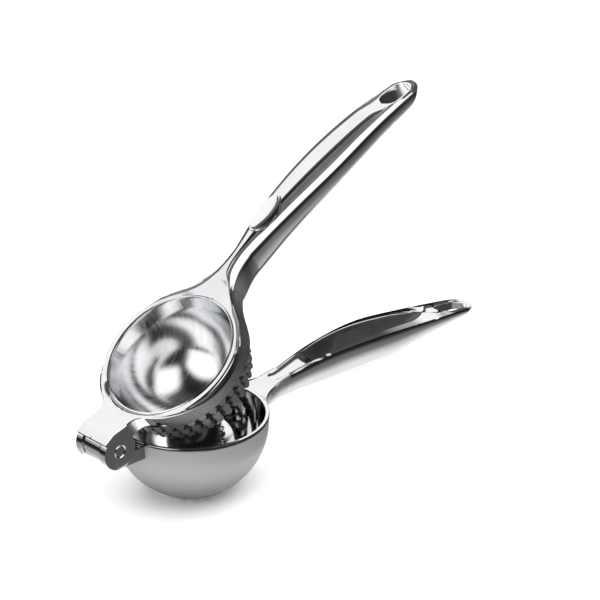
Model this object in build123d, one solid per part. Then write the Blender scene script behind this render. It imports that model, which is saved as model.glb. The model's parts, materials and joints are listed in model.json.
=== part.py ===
from build123d import *
import math
import os

# Hinged lemon squeezer: two polished arms on one cross pin. The lower arm carries a
# thin strainer bowl and the upper arm a deep ribbed press cup.
#
# Lengths are millimetres. The part stands on the small flat under its bowl, with that
# flat's centre at the origin. +X runs from the hinge to the handle tips, +Y along the
# hinge pin and +Z up. Each arm is drawn with the hinge axis as its own zero, and is
# then moved into place. The lower arm lies level, the upper one is drawn open.

# ---- pose ---------------------------------------------------------------------------
open_angle = 36.0            # upper arm above the lower one, degrees
hinge_offset = 14.9          # hinge axis to the nearest point of the ring
rim_drop = 1.9               # bowl rim plane below the hinge axis

# ---- strainer bowl ------------------------------------------------------------------
bowl_inner_radius = 36.5
bowl_wall = 1.6
bowl_straight = 3.9          # straight wall between the rim plane and the round bottom
foot_flat_depth = 0.5        # how much the round bottom is flattened to stand on
drain_hole_radius = 1.6
inner_drain_count = 8
inner_drain_radius = 8.8     # radius of the ring that the hole centres lie on
outer_drain_count = 14
outer_drain_radius = 13.8
rim_band_height = 1.4        # cast band of the lower arm that lies on the bowl's edge
rim_band_proud = 0.3         # how far the band stands outside the bowl's wall
rim_edge_round = 0.35

# ---- hinge --------------------------------------------------------------------------
ear_radius = 9.2
ear_thickness = 4.0
clevis_width = 21.4
pin_radius = 3.0
pin_clearance = 0.05         # running fit between the pin and each bore
pin_end_chamfer = 0.5
pin_end_inset = 0.2          # pin end below the outer face of the ear
washer_thickness = 0.8
washer_radius = 7.4
side_play = 0.1              # gap on each side of a washer
knuckle_radius = 8.4
tongue_width = 19.4          # block that joins the knuckle to the bowl
tongue_top = -3.3
tongue_bottom = -9.7
ear_swing_gap = 1.0          # room for the ears to turn past the tongue
web_clearance = 0.4          # between the knuckle and the plate above it
plate_top = 10.4             # flat top of the clevis above the hinge axis
plate_back = -3.4            # where that flat ends behind the pin
plate_slope_at = 3.0         # where the flat starts to fall towards the ring
plate_knee_at = 10.0         # where it bends to a gentler slope
plate_knee_top = 7.7
ear_underside = -1.0         # lower edge of the ears where they run into the ring
root_fillet = 8.0            # hollow curve, seen from above, from the ears to the ring

# ---- press cup and its ring ---------------------------------------------------------
press_clearance = 2.1        # between the cup's ribs and the bowl
cup_wall = 1.0
cup_floor = 0.9              # wall between two ribs, below the ring
cup_taper = 1.0              # the mouth is this much wider than the round bottom
cup_lip_top = 3.4            # cup's lip above the hinge axis, square to the upper arm
cup_lip_round = 0.5
cup_dome_centre = -5.0       # centre of the cup's round bottom on the same scale
ring_bore_clearance = 0.1
ring_top_inner = 3.1
ring_width = 3.8
ring_side_top = 0.6          # ring's outer edge half way round each side
ring_hinge_rise = 6.2        # how much higher that edge is at the hinge
ring_handle_rise = 4.6       # and at the handle
ring_dish_rise = 2.7         # slope of the raised stretches towards the cup
ring_bottom = -7.5
ring_bottom_width = 1.0
ring_edge_stations = 28
rib_count = 36
rib_depth = 1.7
rib_tier_height = 5.4
rib_tiers = 3
rib_point_angle = 50.0       # slope of the cut that gives each rib its pointed foot

# ---- handles: places along each arm, from the centre of bowl and cup ------------------
root_reach = 31.4
neck_reach = 60.4
grip_reach = 87.4
swell_reach = 121.4
tail_reach = 155.4
lower_tip_reach = 195.4
upper_tip_reach = 188.4
tip_round = 8.0
stations_per_span = 3
tip_end_angle = 76.0         # the round tip stops here, at a small flat

# Lower handle: half widths, top of the rims and underside at the places above.
lower_root_half = 21.5
lower_neck_half = 6.0
lower_grip_half = 9.0
lower_swell_half = 12.0
lower_tail_half = 10.7
lower_tip_half = 7.8
lower_neck_rim = -0.5
lower_grip_rim = 3.5
lower_swell_rim = 4.1
lower_tail_rim = 0.7
lower_tip_rim = -4.4
lower_root_keel = -22.0
lower_neck_keel = -14.6
lower_grip_keel = -15.1
lower_swell_keel = -15.9
lower_tail_keel = -12.6
lower_tip_keel = -9.4
channel_wall = 2.3
channel_floor = 2.6
channel_lead = 9.0           # the channel starts this far before the neck
channel_tail = 34.0          # and ends this far from the handle's tip
lower_slot_setback = 14.0    # slot's centre from the handle's tip
lower_slot_length = 18.0
slot_width = 10.2

# Upper handle: half widths, top of the edge strips, underside and spine.
upper_root_half = 21.5
upper_neck_half = 6.7
upper_grip_half = 10.4
upper_swell_half = 12.6
upper_tail_half = 11.2
upper_tip_half = 8.0
upper_root_rim = 3.4
upper_neck_rim = 7.0
upper_grip_rim = 6.9
upper_swell_rim = 3.0
upper_tail_rim = -3.3
upper_tip_rim = -13.6
upper_root_keel = -4.5
upper_neck_keel = -10.0
upper_grip_keel = -9.9
upper_swell_keel = -12.3
upper_tail_keel = -16.8
upper_tip_keel = -22.2
shoulder_inset = 1.1         # edge strip's outer line inside the widest line
shoulder_drop = 2.6          # widest line below the strip
strip_width = 3.8
groove_depth = 1.6
spine_root_half = 17.0
spine_neck_half = 1.3
spine_grip_half = 3.5
spine_end_half = 4.6
spine_root_top = 4.0
spine_neck_top = 10.0
spine_grip_top = 11.0
spine_swell_top = 7.3
spine_tail_top = -0.7
spine_end_top = -6.6
spine_end_setback = 22.0     # where the spine starts to spread, from the handle's tip
spine_spread_lead = 4.0      # its sides run straight up to here
spine_draft = 0.5            # the spine's foot is this much wider on each side
spine_crest_rise = 15.0      # the spine has climbed out of the ring this far past the root
spine_crest_top = 9.2
loop_setback = 12.0          # middle of the spine's loop round the hang slot
loop_half = 6.5
loop_end_gap = 2.6           # from the loop's end to the handle's tip
loop_top_step = 0.7          # loop above the edge strips at the tip
upper_slot_setback = 12.6
upper_slot_length = 17.4
upper_slot_tilt = 20.0       # the slot is cut square to the drooping tip, degrees

# ---- badge --------------------------------------------------------------------------
badge_setback = 5.2          # badge's centre before the grip
badge_length = 20.4
badge_width = 8.2
badge_thickness = 2.2
badge_seat_depth = 1.0       # how deep the plate sits in its seat
badge_gap = 0.05
badge_edge_round = 0.4
seat_rim = 0.7               # wall of the raised seat round the plate
seat_step = 0.3              # seat above the spine

# ---- worked out from the sizes above --------------------------------------------------
bowl_outer_radius = bowl_inner_radius + bowl_wall
bowl_centre_drop = rim_drop + bowl_straight
hinge_height = bowl_outer_radius - foot_flat_depth + bowl_centre_drop
ear_inner = clevis_width / 2 - ear_thickness
knuckle_half = ear_inner - washer_thickness - 2 * side_play
rib_outer_radius = bowl_inner_radius - press_clearance
cup_throat_radius = rib_outer_radius - rib_depth - cup_floor
cup_mouth_radius = cup_throat_radius + cup_taper
cup_outer_radius = cup_mouth_radius + cup_wall
ring_bore_radius = cup_outer_radius + ring_bore_clearance
ring_outer_radius = ring_bore_radius + ring_width
ring_bottom_radius = ring_bore_radius + ring_bottom_width
hinge_reach = ring_outer_radius + hinge_offset
root_at = hinge_reach + root_reach
neck_at = hinge_reach + neck_reach
grip_at = hinge_reach + grip_reach
swell_at = hinge_reach + swell_reach
tail_at = hinge_reach + tail_reach
lower_tip_at = hinge_reach + lower_tip_reach
upper_tip_at = hinge_reach + upper_tip_reach
badge_at = grip_at - badge_setback
everywhere = 400.0           # larger than the part, for cutting blocks

across = Plane(origin=(0, 0, 0), x_dir=(0, 1, 0), z_dir=(1, 0, 0))
side = Plane.XZ


def flow(at, knots):
    """Value at a place, on a smooth curve through the (place, value) knots."""
    last = len(knots) - 1
    slopes = []
    for i in range(last + 1):
        before, after = knots[max(i - 1, 0)], knots[min(i + 1, last)]
        slopes.append((after[1] - before[1]) / (after[0] - before[0]))
    i = 0
    while i < last - 1 and at > knots[i + 1][0]:
        i += 1
    (start, low), (end, high) = knots[i], knots[i + 1]
    span = end - start
    t = (at - start) / span
    return (low * (1 + 2 * t) * (1 - t) ** 2 + high * t * t * (3 - 2 * t)
            + span * t * (1 - t) * (slopes[i] * (1 - t) - slopes[i + 1] * t))


def flare(at, root, neck):
    """Half width between root and neck: a cubic that spreads towards the bowl."""
    t = (neck_at - at) / (neck_at - root_at)
    return neck + (root - neck) * t ** 3


def half_width(at, root, knots):
    """Half width of a handle, which is narrowest at the neck."""
    if at < neck_at:
        return flare(at, root, knots[0][1])
    return flow(at, knots)


lower_widths = [(neck_at, lower_neck_half), (grip_at, lower_grip_half),
                (swell_at, lower_swell_half), (tail_at, lower_tail_half),
                (lower_tip_at, lower_tip_half)]
lower_rims = [(root_at, -rim_drop), (neck_at, lower_neck_rim), (grip_at, lower_grip_rim),
              (swell_at, lower_swell_rim), (tail_at, lower_tail_rim),
              (lower_tip_at, lower_tip_rim)]
lower_keels = [(root_at, lower_root_keel), (neck_at, lower_neck_keel),
               (grip_at, lower_grip_keel), (swell_at, lower_swell_keel),
               (tail_at, lower_tail_keel), (lower_tip_at, lower_tip_keel)]
upper_widths = [(neck_at, upper_neck_half), (grip_at, upper_grip_half),
                (swell_at, upper_swell_half), (tail_at, upper_tail_half),
                (upper_tip_at, upper_tip_half)]
upper_rims = [(root_at, upper_root_rim), (neck_at, upper_neck_rim),
              (grip_at, upper_grip_rim), (swell_at, upper_swell_rim),
              (tail_at, upper_tail_rim), (upper_tip_at, upper_tip_rim)]
upper_keels = [(root_at, upper_root_keel), (neck_at, upper_neck_keel),
               (grip_at, upper_grip_keel), (swell_at, upper_swell_keel),
               (tail_at, upper_tail_keel), (upper_tip_at, upper_tip_keel)]
spine_end_at = upper_tip_at - spine_end_setback
spine_tip_at = upper_tip_at - loop_end_gap
spine_tops = [(root_at, spine_root_top), (root_at + spine_crest_rise, spine_crest_top),
              (neck_at, spine_neck_top), (grip_at, spine_grip_top),
              (swell_at, spine_swell_top), (tail_at, spine_tail_top),
              (spine_end_at, spine_end_top),
              (spine_tip_at, upper_tip_rim + loop_top_step)]
spine_widths = [(neck_at, spine_neck_half), (grip_at, spine_grip_half),
                (swell_at, spine_end_half),
                (spine_end_at - spine_spread_lead, spine_end_half),
                (upper_tip_at - loop_setback, loop_half), (spine_tip_at, loop_half)]
groove_widths = [(at, half - shoulder_inset - strip_width) for at, half in upper_widths]


def boat_section(at, half, rim, keel):
    """Handle section: a half ellipse below a flat top."""
    bottom = EllipticalCenterArc((0, rim), half, rim - keel,
                                 start_angle=180, arc_size=180)
    return across.offset(at) * make_face(bottom + Line((half, rim), (-half, rim)))


def shoulder_section(at, half, rim, keel, narrowing):
    """Handle section with sloping shoulders between its widest line and its top."""
    inset, drop = shoulder_inset * narrowing, shoulder_drop * narrowing
    bottom = EllipticalCenterArc((0, rim - drop), half, rim - drop - keel,
                                 start_angle=180, arc_size=180)
    top = Polyline((half, rim - drop), (half - inset, rim),
                   (inset - half, rim), (-half, rim - drop))
    return across.offset(at) * make_face(bottom + top)


def slab_section(at, half, top, bottom, draft=0.0):
    """Flat-bottomed section whose sides spread by the draft towards its foot."""
    corners = [(half, top), (-half, top), (-half - draft, bottom), (half + draft, bottom)]
    return across.offset(at) * make_face(Polyline(*corners, close=True))


def loft_to_tip(section, root_half, widths, marks, tip):
    """Solid through section(at, half, narrowing), closed by a round tip."""
    round_start = tip - tip_round
    places = [mark for mark in marks if mark < round_start] + [round_start]
    sections = []
    for start, end in zip(places, places[1:]):
        for k in range(stations_per_span):
            at = start + (end - start) * k / stations_per_span
            sections.append(section(at, half_width(at, root_half, widths), 1.0))
    for k in range(stations_per_span + 2):
        turn = math.radians(tip_end_angle * k / (stations_per_span + 1))
        at = round_start + tip_round * math.sin(turn)
        sections.append(section(at, flow(at, widths) * math.cos(turn), math.cos(turn)))
    return loft(sections)


def stadium(centre, length, width):
    """Tall upright block with round ends, long along X."""
    outline = Pos(centre, 0, -everywhere / 2) * SlotOverall(length, width)
    return extrude(outline, amount=everywhere)


def cross_cylinder(radius, length, centre=0.0):
    """Cylinder about the hinge axis."""
    return Pos(0, centre, 0) * Rot(90, 0, 0) * Cylinder(radius, length)


def upright_cylinder(radius, low, high):
    """Cylinder on the common axis of bowl and cup."""
    return Pos(hinge_reach, 0, (low + high) / 2) * Cylinder(radius, high - low)


def side_block(points, width):
    """Block of the given width with its outline drawn in the side view."""
    outline = make_face(Polyline(*points, close=True))
    return extrude(side * outline, amount=width / 2, both=True)


def turned(points):
    """Solid turned about the bowl and cup axis from (radius, height) points."""
    outline = make_face(Polyline(*points, close=True))
    return Pos(hinge_reach, 0, 0) * revolve(side * outline, Axis.Z)


def half_ball(radius, centre_height):
    """Lower half of a ball on the bowl and cup axis."""
    ball = Pos(hinge_reach, 0, centre_height) * Sphere(radius)
    return ball & upright_cylinder(2 * radius, centre_height - 2 * radius, centre_height)


def round_plug(radius, centre_height, top):
    """Upright plug on the bowl and cup axis with a half ball for its lower end."""
    return half_ball(radius, centre_height) + upright_cylinder(radius, centre_height, top)


def build_strainer_bowl():
    """Thin round bowl, flattened to stand on, with two rings of drain holes."""
    edge = -rim_drop - rim_band_height
    bowl = round_plug(bowl_outer_radius, -bowl_centre_drop, edge)
    bowl -= round_plug(bowl_inner_radius, -bowl_centre_drop, edge)
    bowl -= upright_cylinder(bowl_outer_radius, -everywhere, -hinge_height)
    for count, ring_radius in [(inner_drain_count, inner_drain_radius),
                               (outer_drain_count, outer_drain_radius)]:
        for k in range(count):
            turn = 2 * math.pi * k / count
            hole = upright_cylinder(drain_hole_radius, -everywhere, -bowl_centre_drop)
            bowl -= Pos(ring_radius * math.cos(turn), ring_radius * math.sin(turn),
                        0) * hole
    return bowl


def build_lower_handle():
    """Deep channel, open on top, with a hang slot through its tip."""
    def outer(at, half, narrowing):
        return boat_section(at, half, flow(at, lower_rims), flow(at, lower_keels))

    def inner(at, half, narrowing):
        return boat_section(at, half - channel_wall * narrowing,
                            flow(at, lower_rims) + channel_floor,
                            flow(at, lower_keels) + channel_floor)

    marks = [place for place, height in lower_rims]
    handle = loft_to_tip(outer, lower_root_half, lower_widths, marks, lower_tip_at)
    hollow = loft_to_tip(inner, lower_root_half, lower_widths, marks, lower_tip_at)
    start, end = neck_at - channel_lead, lower_tip_at - channel_tail
    channel = hollow & stadium((start + end) / 2, end - start, 2 * lower_swell_half)
    slot = stadium(lower_tip_at - lower_slot_setback, lower_slot_length, slot_width)
    return handle - channel - slot


def build_lower_arm():
    """Rim band, channel handle, tongue and hinge knuckle, cast in one piece."""
    band_outer = bowl_outer_radius + rim_band_proud
    band = turned([(bowl_inner_radius, -rim_drop - rim_band_height),
                   (band_outer, -rim_drop - rim_band_height),
                   (band_outer, -rim_drop - rim_edge_round),
                   (band_outer - rim_edge_round, -rim_drop),
                   (bowl_inner_radius + rim_edge_round, -rim_drop),
                   (bowl_inner_radius, -rim_drop - rim_edge_round)])
    swing_radius = ear_radius + ear_swing_gap
    tongue = side_block([(0, tongue_top), (hinge_reach, tongue_top),
                         (hinge_reach, tongue_bottom), (0, tongue_bottom)],
                        tongue_width)
    tongue -= cross_cylinder(swing_radius, tongue_width)
    neck = side_block([(0, tongue_top), (swing_radius, tongue_top),
                       (swing_radius, tongue_bottom), (0, -knuckle_radius)],
                      2 * knuckle_half)
    arm = (build_lower_handle() + tongue) - round_plug(
        bowl_outer_radius, -bowl_centre_drop, everywhere)
    arm += band
    arm += neck + cross_cylinder(knuckle_radius, 2 * knuckle_half)
    return arm - cross_cylinder(pin_radius + pin_clearance, 2 * clevis_width)


def rib_tier(top, outer):
    """Ring of upright V ribs whose feet are cut to points."""
    valley = outer - rib_depth
    points = []
    for k in range(2 * rib_count):
        turn = math.pi * k / rib_count
        reach = outer if k % 2 == 0 else valley
        points.append((reach * math.cos(turn), reach * math.sin(turn)))
    star = extrude(Pos(hinge_reach, 0, top - rib_tier_height)
                   * make_face(Polyline(*points, close=True)), amount=rib_tier_height)
    cut = rib_depth * math.tan(math.radians(rib_point_angle))
    foot = top - rib_tier_height
    return star & turned([(0, top), (outer, top), (outer, foot + cut),
                          (valley, foot), (0, foot)])


def build_press_cup():
    """Deep cup, open towards the ring's top, with tiers of ribs round its outside."""
    cup = half_ball(rib_outer_radius - rib_depth, cup_dome_centre)
    for tier in range(rib_tiers):
        top = ring_bottom - tier * rib_tier_height
        drop = top - cup_dome_centre
        cup += rib_tier(top, math.sqrt(rib_outer_radius ** 2 - drop ** 2))
    cup += turned([(0, ring_bottom), (cup_outer_radius, ring_bottom),
                   (cup_outer_radius, cup_lip_top - cup_lip_round),
                   (cup_outer_radius - cup_lip_round, cup_lip_top), (0, cup_lip_top)])
    inside = half_ball(cup_throat_radius, cup_dome_centre)
    inside += turned([(0, cup_dome_centre), (cup_throat_radius, cup_dome_centre),
                      (cup_mouth_radius, cup_lip_top - cup_lip_round),
                      (cup_mouth_radius + cup_lip_round, cup_lip_top),
                      (0, cup_lip_top)])
    return cup - inside


def build_upper_handle():
    """Rounded handle with two edge strips, a groove and a raised spine between them."""
    def outer(at, half, narrowing):
        return shoulder_section(at, half, flow(at, upper_rims), flow(at, upper_keels),
                                narrowing)

    def groove(at, half, narrowing):
        rim = flow(at, upper_rims)
        return slab_section(at, half, rim + groove_depth, rim - groove_depth)

    def spine(at, half, narrowing):
        foot = flow(at, upper_rims) - 2 * groove_depth
        return slab_section(at, half, flow(at, spine_tops), foot, spine_draft)

    marks = [place for place, height in upper_rims]
    handle = loft_to_tip(outer, upper_root_half, upper_widths, marks, upper_tip_at)
    groove_tip = upper_tip_at - loop_end_gap / 2
    groove_marks = [place for place in marks if place >= neck_at]
    handle -= loft_to_tip(groove, upper_root_half, groove_widths, groove_marks,
                          groove_tip)
    spine_marks = [place for place, height in spine_tops]
    handle += loft_to_tip(spine, spine_root_half, spine_widths, spine_marks,
                          spine_tip_at)
    slot_at = upper_tip_at - upper_slot_setback
    slot = stadium(0, upper_slot_length, slot_width)
    return handle - Pos(slot_at, 0, flow(slot_at, upper_rims)) * Rot(
        0, upper_slot_tilt, 0) * slot


def ring_edge_top(at):
    """Height of the ring's outer edge, which rises towards the hinge and the handle."""
    share = (at - hinge_reach) / ring_outer_radius
    rise = ring_hinge_rise if share < 0 else ring_handle_rise
    return ring_side_top + rise * share ** 2


def build_ring():
    """Flange that slopes outwards at the sides and is dished at hinge and handle."""
    ring = turned([(0, ring_bottom), (ring_bottom_radius, ring_bottom),
                   (ring_outer_radius, ring_side_top),
                   (ring_bore_radius, ring_top_inner), (0, ring_top_inner)])
    edge = []
    for k in range(ring_edge_stations + 1):
        at = hinge_reach + ring_outer_radius * (2 * k / ring_edge_stations - 1)
        edge.append((at, ring_edge_top(at)))
    first, last = edge[0][0], edge[-1][0]
    saddle = side_block(edge + [(last, ring_bottom), (first, ring_bottom)],
                        2 * ring_outer_radius)
    return ring + (saddle & upright_cylinder(ring_outer_radius, ring_side_top, everywhere))


def ring_dish():
    """Space above the ring's dished stretches."""
    rim_top = ring_top_inner + ring_dish_rise
    return turned([(0, ring_top_inner), (ring_bore_radius, ring_top_inner),
                   (ring_outer_radius, rim_top), (ring_outer_radius, 2 * rim_top),
                   (0, 2 * rim_top)])


def build_clevis():
    """Two ears with a plate over the knuckle, spreading into the ring."""
    half = clevis_width / 2
    foot_at = hinge_reach - ring_bore_radius
    edge_at = hinge_reach - ring_outer_radius
    top = [(plate_back, plate_top), (plate_slope_at, plate_top),
           (plate_knee_at, plate_knee_top), (edge_at, ring_edge_top(edge_at)),
           (foot_at, ring_edge_top(foot_at))]
    ears = side_block(top + [(foot_at, ear_underside), (ear_radius, ear_underside),
                             (0, -ear_radius), (0, 0)], clevis_width)
    ears += cross_cylinder(ear_radius, clevis_width)
    ears -= cross_cylinder(2 * ear_radius, 2 * ear_inner)
    web = side_block(top + [(foot_at, ear_underside), (0, ear_underside),
                            (plate_back, 0)], 2 * ear_inner)
    beside = half + root_fillet
    reach = ring_outer_radius + root_fillet
    fillet_at = hinge_reach - math.sqrt(reach ** 2 - beside ** 2)
    spread = side_block(top + [(foot_at, ear_underside), (plate_back, ear_underside)],
                        2 * beside * ring_outer_radius / reach)
    spread -= Pos(fillet_at - everywhere / 2, 0, 0) * Box(everywhere, everywhere, everywhere)
    for direction in (-1, 1):
        spread -= Pos(fillet_at, direction * beside, 0) * Cylinder(root_fillet, everywhere)
    knuckle_room = cross_cylinder(knuckle_radius + web_clearance, 2 * ear_inner)
    return ears + web + spread - knuckle_room


def badge_seat_top():
    """Height of the badge's seat above the hinge axis."""
    return flow(badge_at, spine_tops) + seat_step


def build_upper_arm():
    """Ring, clevis and handle, cast in one piece."""
    arm = build_ring() + build_clevis() + build_upper_handle() - ring_dish()
    arm -= upright_cylinder(ring_bore_radius, -everywhere, everywhere)
    arm -= upright_cylinder(rib_outer_radius + ring_bore_clearance, -everywhere,
                            ring_bottom)
    seat_top = badge_seat_top()
    seat_foot = flow(badge_at, upper_rims) - groove_depth
    seat = extrude(Pos(badge_at, 0, seat_foot) * Ellipse(
        badge_length / 2 + seat_rim, badge_width / 2 + seat_rim),
        amount=seat_top - seat_foot)
    arm += seat
    arm -= extrude(Pos(badge_at, 0, seat_top - badge_seat_depth) * Ellipse(
        badge_length / 2 + badge_gap, badge_width / 2 + badge_gap),
        amount=badge_thickness)
    return arm - cross_cylinder(pin_radius + pin_clearance, 2 * clevis_width)


def build_badge_plate():
    """Blank oval plate, proud of its seat on the spine."""
    plate = extrude(Pos(badge_at, 0, badge_seat_top() - badge_seat_depth) * Ellipse(
        badge_length / 2, badge_width / 2), amount=badge_thickness)
    top_edge = plate.faces().sort_by(Axis.Z)[-1].edges()
    return chamfer(top_edge, badge_edge_round)


def build_hinge_pin():
    """Cross pin with a small bevel at each end."""
    pin = cross_cylinder(pin_radius, clevis_width - 2 * pin_end_inset)
    return chamfer(pin.edges().filter_by(GeomType.CIRCLE), pin_end_chamfer)


def build_washer(direction):
    """Thin washer between the knuckle and one ear."""
    centre = direction * (knuckle_half + side_play + washer_thickness / 2)
    washer = cross_cylinder(washer_radius, washer_thickness, centre)
    return washer - cross_cylinder(pin_radius + pin_clearance, 2 * clevis_width)


hinge_place = Pos(-hinge_reach, 0, hinge_height)
raised_place = hinge_place * Rot(0, -open_angle, 0)

parts = {
    "strainer_bowl": hinge_place * build_strainer_bowl(),
    "lower_arm": hinge_place * build_lower_arm(),
    "washer_near": hinge_place * build_washer(-1),
    "washer_far": hinge_place * build_washer(1),
    "upper_arm": raised_place * build_upper_arm(),
    "press_cup": raised_place * build_press_cup(),
    "badge_plate": raised_place * build_badge_plate(),
    "hinge_pin": raised_place * build_hinge_pin(),
}

os.makedirs("parts", exist_ok=True)
for name, shape in parts.items():
    export_step(shape, f"parts/{name}.step")
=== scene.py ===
import json
import math

import bmesh
import bpy
import numpy as np
from mathutils import Matrix, Vector


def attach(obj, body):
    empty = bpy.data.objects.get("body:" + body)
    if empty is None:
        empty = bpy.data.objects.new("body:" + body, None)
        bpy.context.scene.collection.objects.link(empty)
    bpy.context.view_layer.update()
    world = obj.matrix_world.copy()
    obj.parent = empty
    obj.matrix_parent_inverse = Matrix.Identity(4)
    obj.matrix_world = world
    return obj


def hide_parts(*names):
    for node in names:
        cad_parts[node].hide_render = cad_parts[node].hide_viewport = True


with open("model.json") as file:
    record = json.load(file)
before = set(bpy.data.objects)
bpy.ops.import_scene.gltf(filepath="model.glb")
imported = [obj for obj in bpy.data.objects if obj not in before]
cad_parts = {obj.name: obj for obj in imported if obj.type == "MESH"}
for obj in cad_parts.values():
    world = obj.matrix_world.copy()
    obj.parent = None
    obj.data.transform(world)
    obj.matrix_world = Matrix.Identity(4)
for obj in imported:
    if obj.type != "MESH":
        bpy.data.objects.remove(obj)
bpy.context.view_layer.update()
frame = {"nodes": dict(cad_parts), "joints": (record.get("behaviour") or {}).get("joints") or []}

# The looks of a hinged lemon squeezer: two polished arms on a cross pin, a satin strainer
# bowl and a spun press cup. Lengths are millimetres in each arm's own frame, which has the
# hinge axis as zero, +X towards the handle tips and +Z up. Each half of an arm is a net of
# rails that run from the hinge round the ring to the handle's tip.

MM = 0.001
HINGE = np.array(frame["joints"][0]["pos_m"]) / MM
OPEN_ANGLE = 36.0            # upper arm above the lower one, degrees
UP = np.array([0, 0, 1.0])
FLAT = np.array([1.0, 1.0, 0])
NEAR = 0.01                  # this close counts as on a line
CORNER = 1 - math.sqrt(0.5)  # cut of a round edge's middle, as a share of its radius
BEVEL = 0.3                  # the same for the smallest edges
BELLY_STEPS = 16

# ---- ring and clevis --------------------------------------------------------------------
REACH = 52.6                 # hinge axis to the centre of bowl and cup
BORE = 33.9                  # ring's bore
BORE_TOP = 3.1
RING = 37.7                  # ring's outer radius
RING_SIDE_TOP = 0.6
RING_HINGE_RISE = 6.2
RING_HANDLE_RISE = 4.6
RING_BOTTOM = -7.5
HINGE_FOOT = 36.0            # radius of the collar's lower edge at the hinge
HANDLE_FOOT = 37.3           # and at the handle, where the collar is nearly upright
COLLAR_TURN = 10.0           # the collar is at full depth this far round from the ears
EDGE = 0.35                  # rounding of the ears' and the plate's edges
SOFT_EDGE = 0.75             # rounding of the ring's and the handle's edges
CLEVIS_HALF = 10.7
EAR_INNER = 6.7
EAR_RADIUS = 9.19
BORE_ROOM = 8.8              # hollow over the knuckle
PIN_BORE = 3.05
PLATE_BACK = -3.4
PLATE_LINE = [(PLATE_BACK, 10.4), (3.0, 10.4), (10.0, 7.7), (14.9, 6.8)]
EAR_FOOT = -0.4              # ears' lower edge where they meet the ring
FILLET = 8.0                 # seen from above, from the ears to the ring

# ---- upper handle -----------------------------------------------------------------------
FLARE_START = 84.0
FLARE_POWER = 2.86
NECK = 113.0
UPPER_TIP = 241.0
TIP_ROUND = 8.0
UPPER_HALF = [(NECK, 5.6), (140.0, 9.3), (174.0, 11.5), (208.0, 10.1), (UPPER_TIP, 6.9)]
UPPER_RIM = [(FLARE_START, 3.8), (96.0, 6.2), (NECK, 7.0), (140.0, 6.9), (174.0, 3.0),
             (208.0, -3.3), (UPPER_TIP, -13.8)]
UPPER_KEEL = [(HANDLE_FOOT + REACH, RING_BOTTOM), (100.0, -9.4), (NECK, -10.0),
              (140.0, -9.9), (174.0, -12.3), (208.0, -16.8), (UPPER_TIP, -22.2)]
SHOULDER_INSET = 0.9
SHOULDER_DROP = 1.4
STRIP_SLOPE = 0.66           # the edge strips fall outwards by this share of their width
BOXY_TO = 97.0               # the neck's sides are upright up to here
BOXY_POWER = 0.35
STRIP_WIDTH = [(84.0, 0.6), (93.0, 1.5), (101.0, 2.7), (109.0, 3.2), (118.0, 3.0),
               (128.0, 2.4), (140.0, 2.2), (190.0, 2.1), (206.0, 1.7), (UPPER_TIP, 1.3)]
STRIP_SPLIT = 75.0           # where the strip leaves the ring's outer edge, degrees
GROOVE_DEPTH = 1.6
CROWN_ROUND = 1.1            # rounding of the spine's upper edges
SPINE_DRAFT = 0.3
SPINE_LAG = [(84.0, 2.1), (92.0, 2.5), (104.0, 0.7), (NECK, 0.0)]
SPINE_HALF = [(81.9, 19.5), (88.0, 12.5), (92.0, 8.5), (97.0, 4.6), (100.0, 2.7),
              (106.0, 1.6), (NECK, 1.3), (140.0, 3.8), (174.0, 5.1), (215.0, 4.9),
              (229.0, 6.3), (UPPER_TIP, 6.3)]
SPINE_TOP = [(BORE + REACH, BORE_TOP), (90.1, 4.2), (93.9, 5.9), (98.2, 8.2),
             (102.1, 9.4), (NECK, 10.0), (140.0, 11.0), (174.0, 7.3), (208.0, -0.7),
             (219.0, -6.2), (UPPER_TIP, -13.0)]
UPPER_SLOT = (228.4, 17.4)   # centre and length
SLOT_HALF = 5.1
SLOT_TILT = 20.0
SLOT_BLEND = (222.0, 229.0)  # the rails turn round the slot here
UPPER_SQUEEZE = (205.0, 217.0)     # the middle rails crowd together before the slot
SPINE_LOOP = 0.38            # the spine's loop round the slot, from slot to outline
RIDGE_INSET = (1.6, 2.5)     # its edge inside the ring's, from the hinge to the handle

# ---- badge ------------------------------------------------------------------------------
BADGE_AT = 134.8
BADGE_HALF = (10.2, 4.1)
BADGE_THICKNESS = 2.2
BADGE_SUNK = 1.0             # how deep the plate sits in its seat
BADGE_GAP = 0.05
SEAT_RIM = 1.15
SEAT_STEP = 0.3

# ---- press cup --------------------------------------------------------------------------
CUP_LIP = 3.4
CUP_MOUTH = 32.8
CUP_THROAT = 31.8
CUP_CENTRE = -5.0            # height of the round bottom's centre
CUP_OUTER = 33.8
LIP_ROUND = 0.5
RIBS = 36
RIB_OUTER = 34.4
RIB_DEPTH = 2.1
RIB_FEET = (-13.8, -19.0, -23.7)   # lower ends of the tiers of ribs
RIB_FACE = 0.31              # half a rib's flat face, as a share of the pitch
RIB_SHOULDER = 0.55          # share of the tier above the slanted edges of a rib's foot
RIB_POINT = 0.9              # height of a rib's point above the tier's lower end
RIB_UNDER = 0.5              # height where the cut under the point meets the dome
CUP_DOME = RIB_OUTER - RIB_DEPTH

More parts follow.
